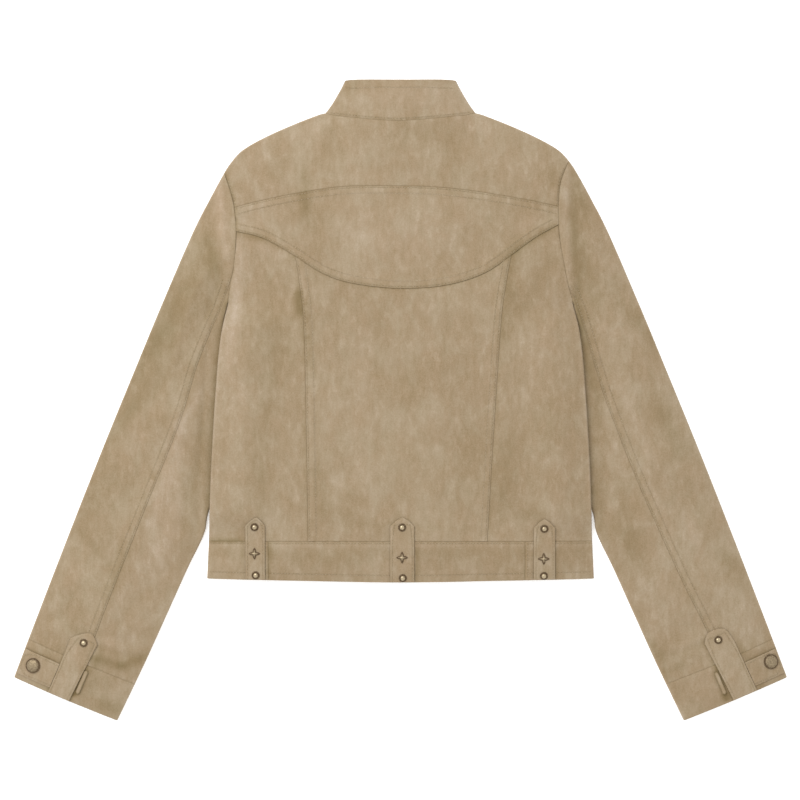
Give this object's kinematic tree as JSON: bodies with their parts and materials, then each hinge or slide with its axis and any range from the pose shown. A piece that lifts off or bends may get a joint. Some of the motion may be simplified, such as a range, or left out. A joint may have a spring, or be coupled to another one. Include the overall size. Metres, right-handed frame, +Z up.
{
  "type": "suede jacket",
  "caption": "Short suede jacket laid flat with its back up: stand collar, curved back yoke, studded hem tabs and snap-strap cuffs.",
  "frame": {"origin": "middle of the underside's bounding rectangle, on the surface the jacket lies on", "axes": "+X across the jacket to the right of its laid-out back, +Y from the hem to the collar, +Z up from the surface"},
  "size_m": [0.891, 0.738, 0.0211],
  "materials": {
    "suede": "napped suede",
    "antique_brass": "antiqued"
  },
  "bodies": {
    "root": {"back_yoke_upper": "suede", "back_yoke_curved": "suede", "back_centre": "suede", "back_side_left": "suede", "back_side_right": "suede", "front_left": "suede", "front_right": "suede", "collar": "suede", "hem_band_back": "suede", "hem_band_left": "suede", "hem_band_right": "suede", "sleeve_upper_back_left": "suede", "sleeve_upper_front_left": "suede", "sleeve_under_left": "suede", "cuff_left": "suede", "cuff_strap_left": "suede", "cuff_tab_left": "suede", "cuff_keeper_left": "suede", "sleeve_upper_back_right": "suede", "sleeve_upper_front_right": "suede", "sleeve_under_right": "suede", "cuff_right": "suede", "cuff_strap_right": "suede", "cuff_tab_right": "suede", "cuff_keeper_right": "suede", "hem_tab_left": "suede", "hem_tab_centre": "suede", "hem_tab_right": "suede", "cuff_snap_left": "antique_brass", "cuff_stud_left": "antique_brass", "cuff_snap_right": "antique_brass", "cuff_stud_right": "antique_brass", "hem_stud_upper_left": "antique_brass", "hem_star_left": "antique_brass", "hem_stud_lower_left": "antique_brass", "hem_stud_upper_centre": "antique_brass", "hem_star_centre": "antique_brass", "hem_stud_lower_centre": "antique_brass", "hem_stud_upper_right": "antique_brass", "hem_star_right": "antique_brass", "hem_stud_lower_right": "antique_brass"}
  },
  "joints": []
}
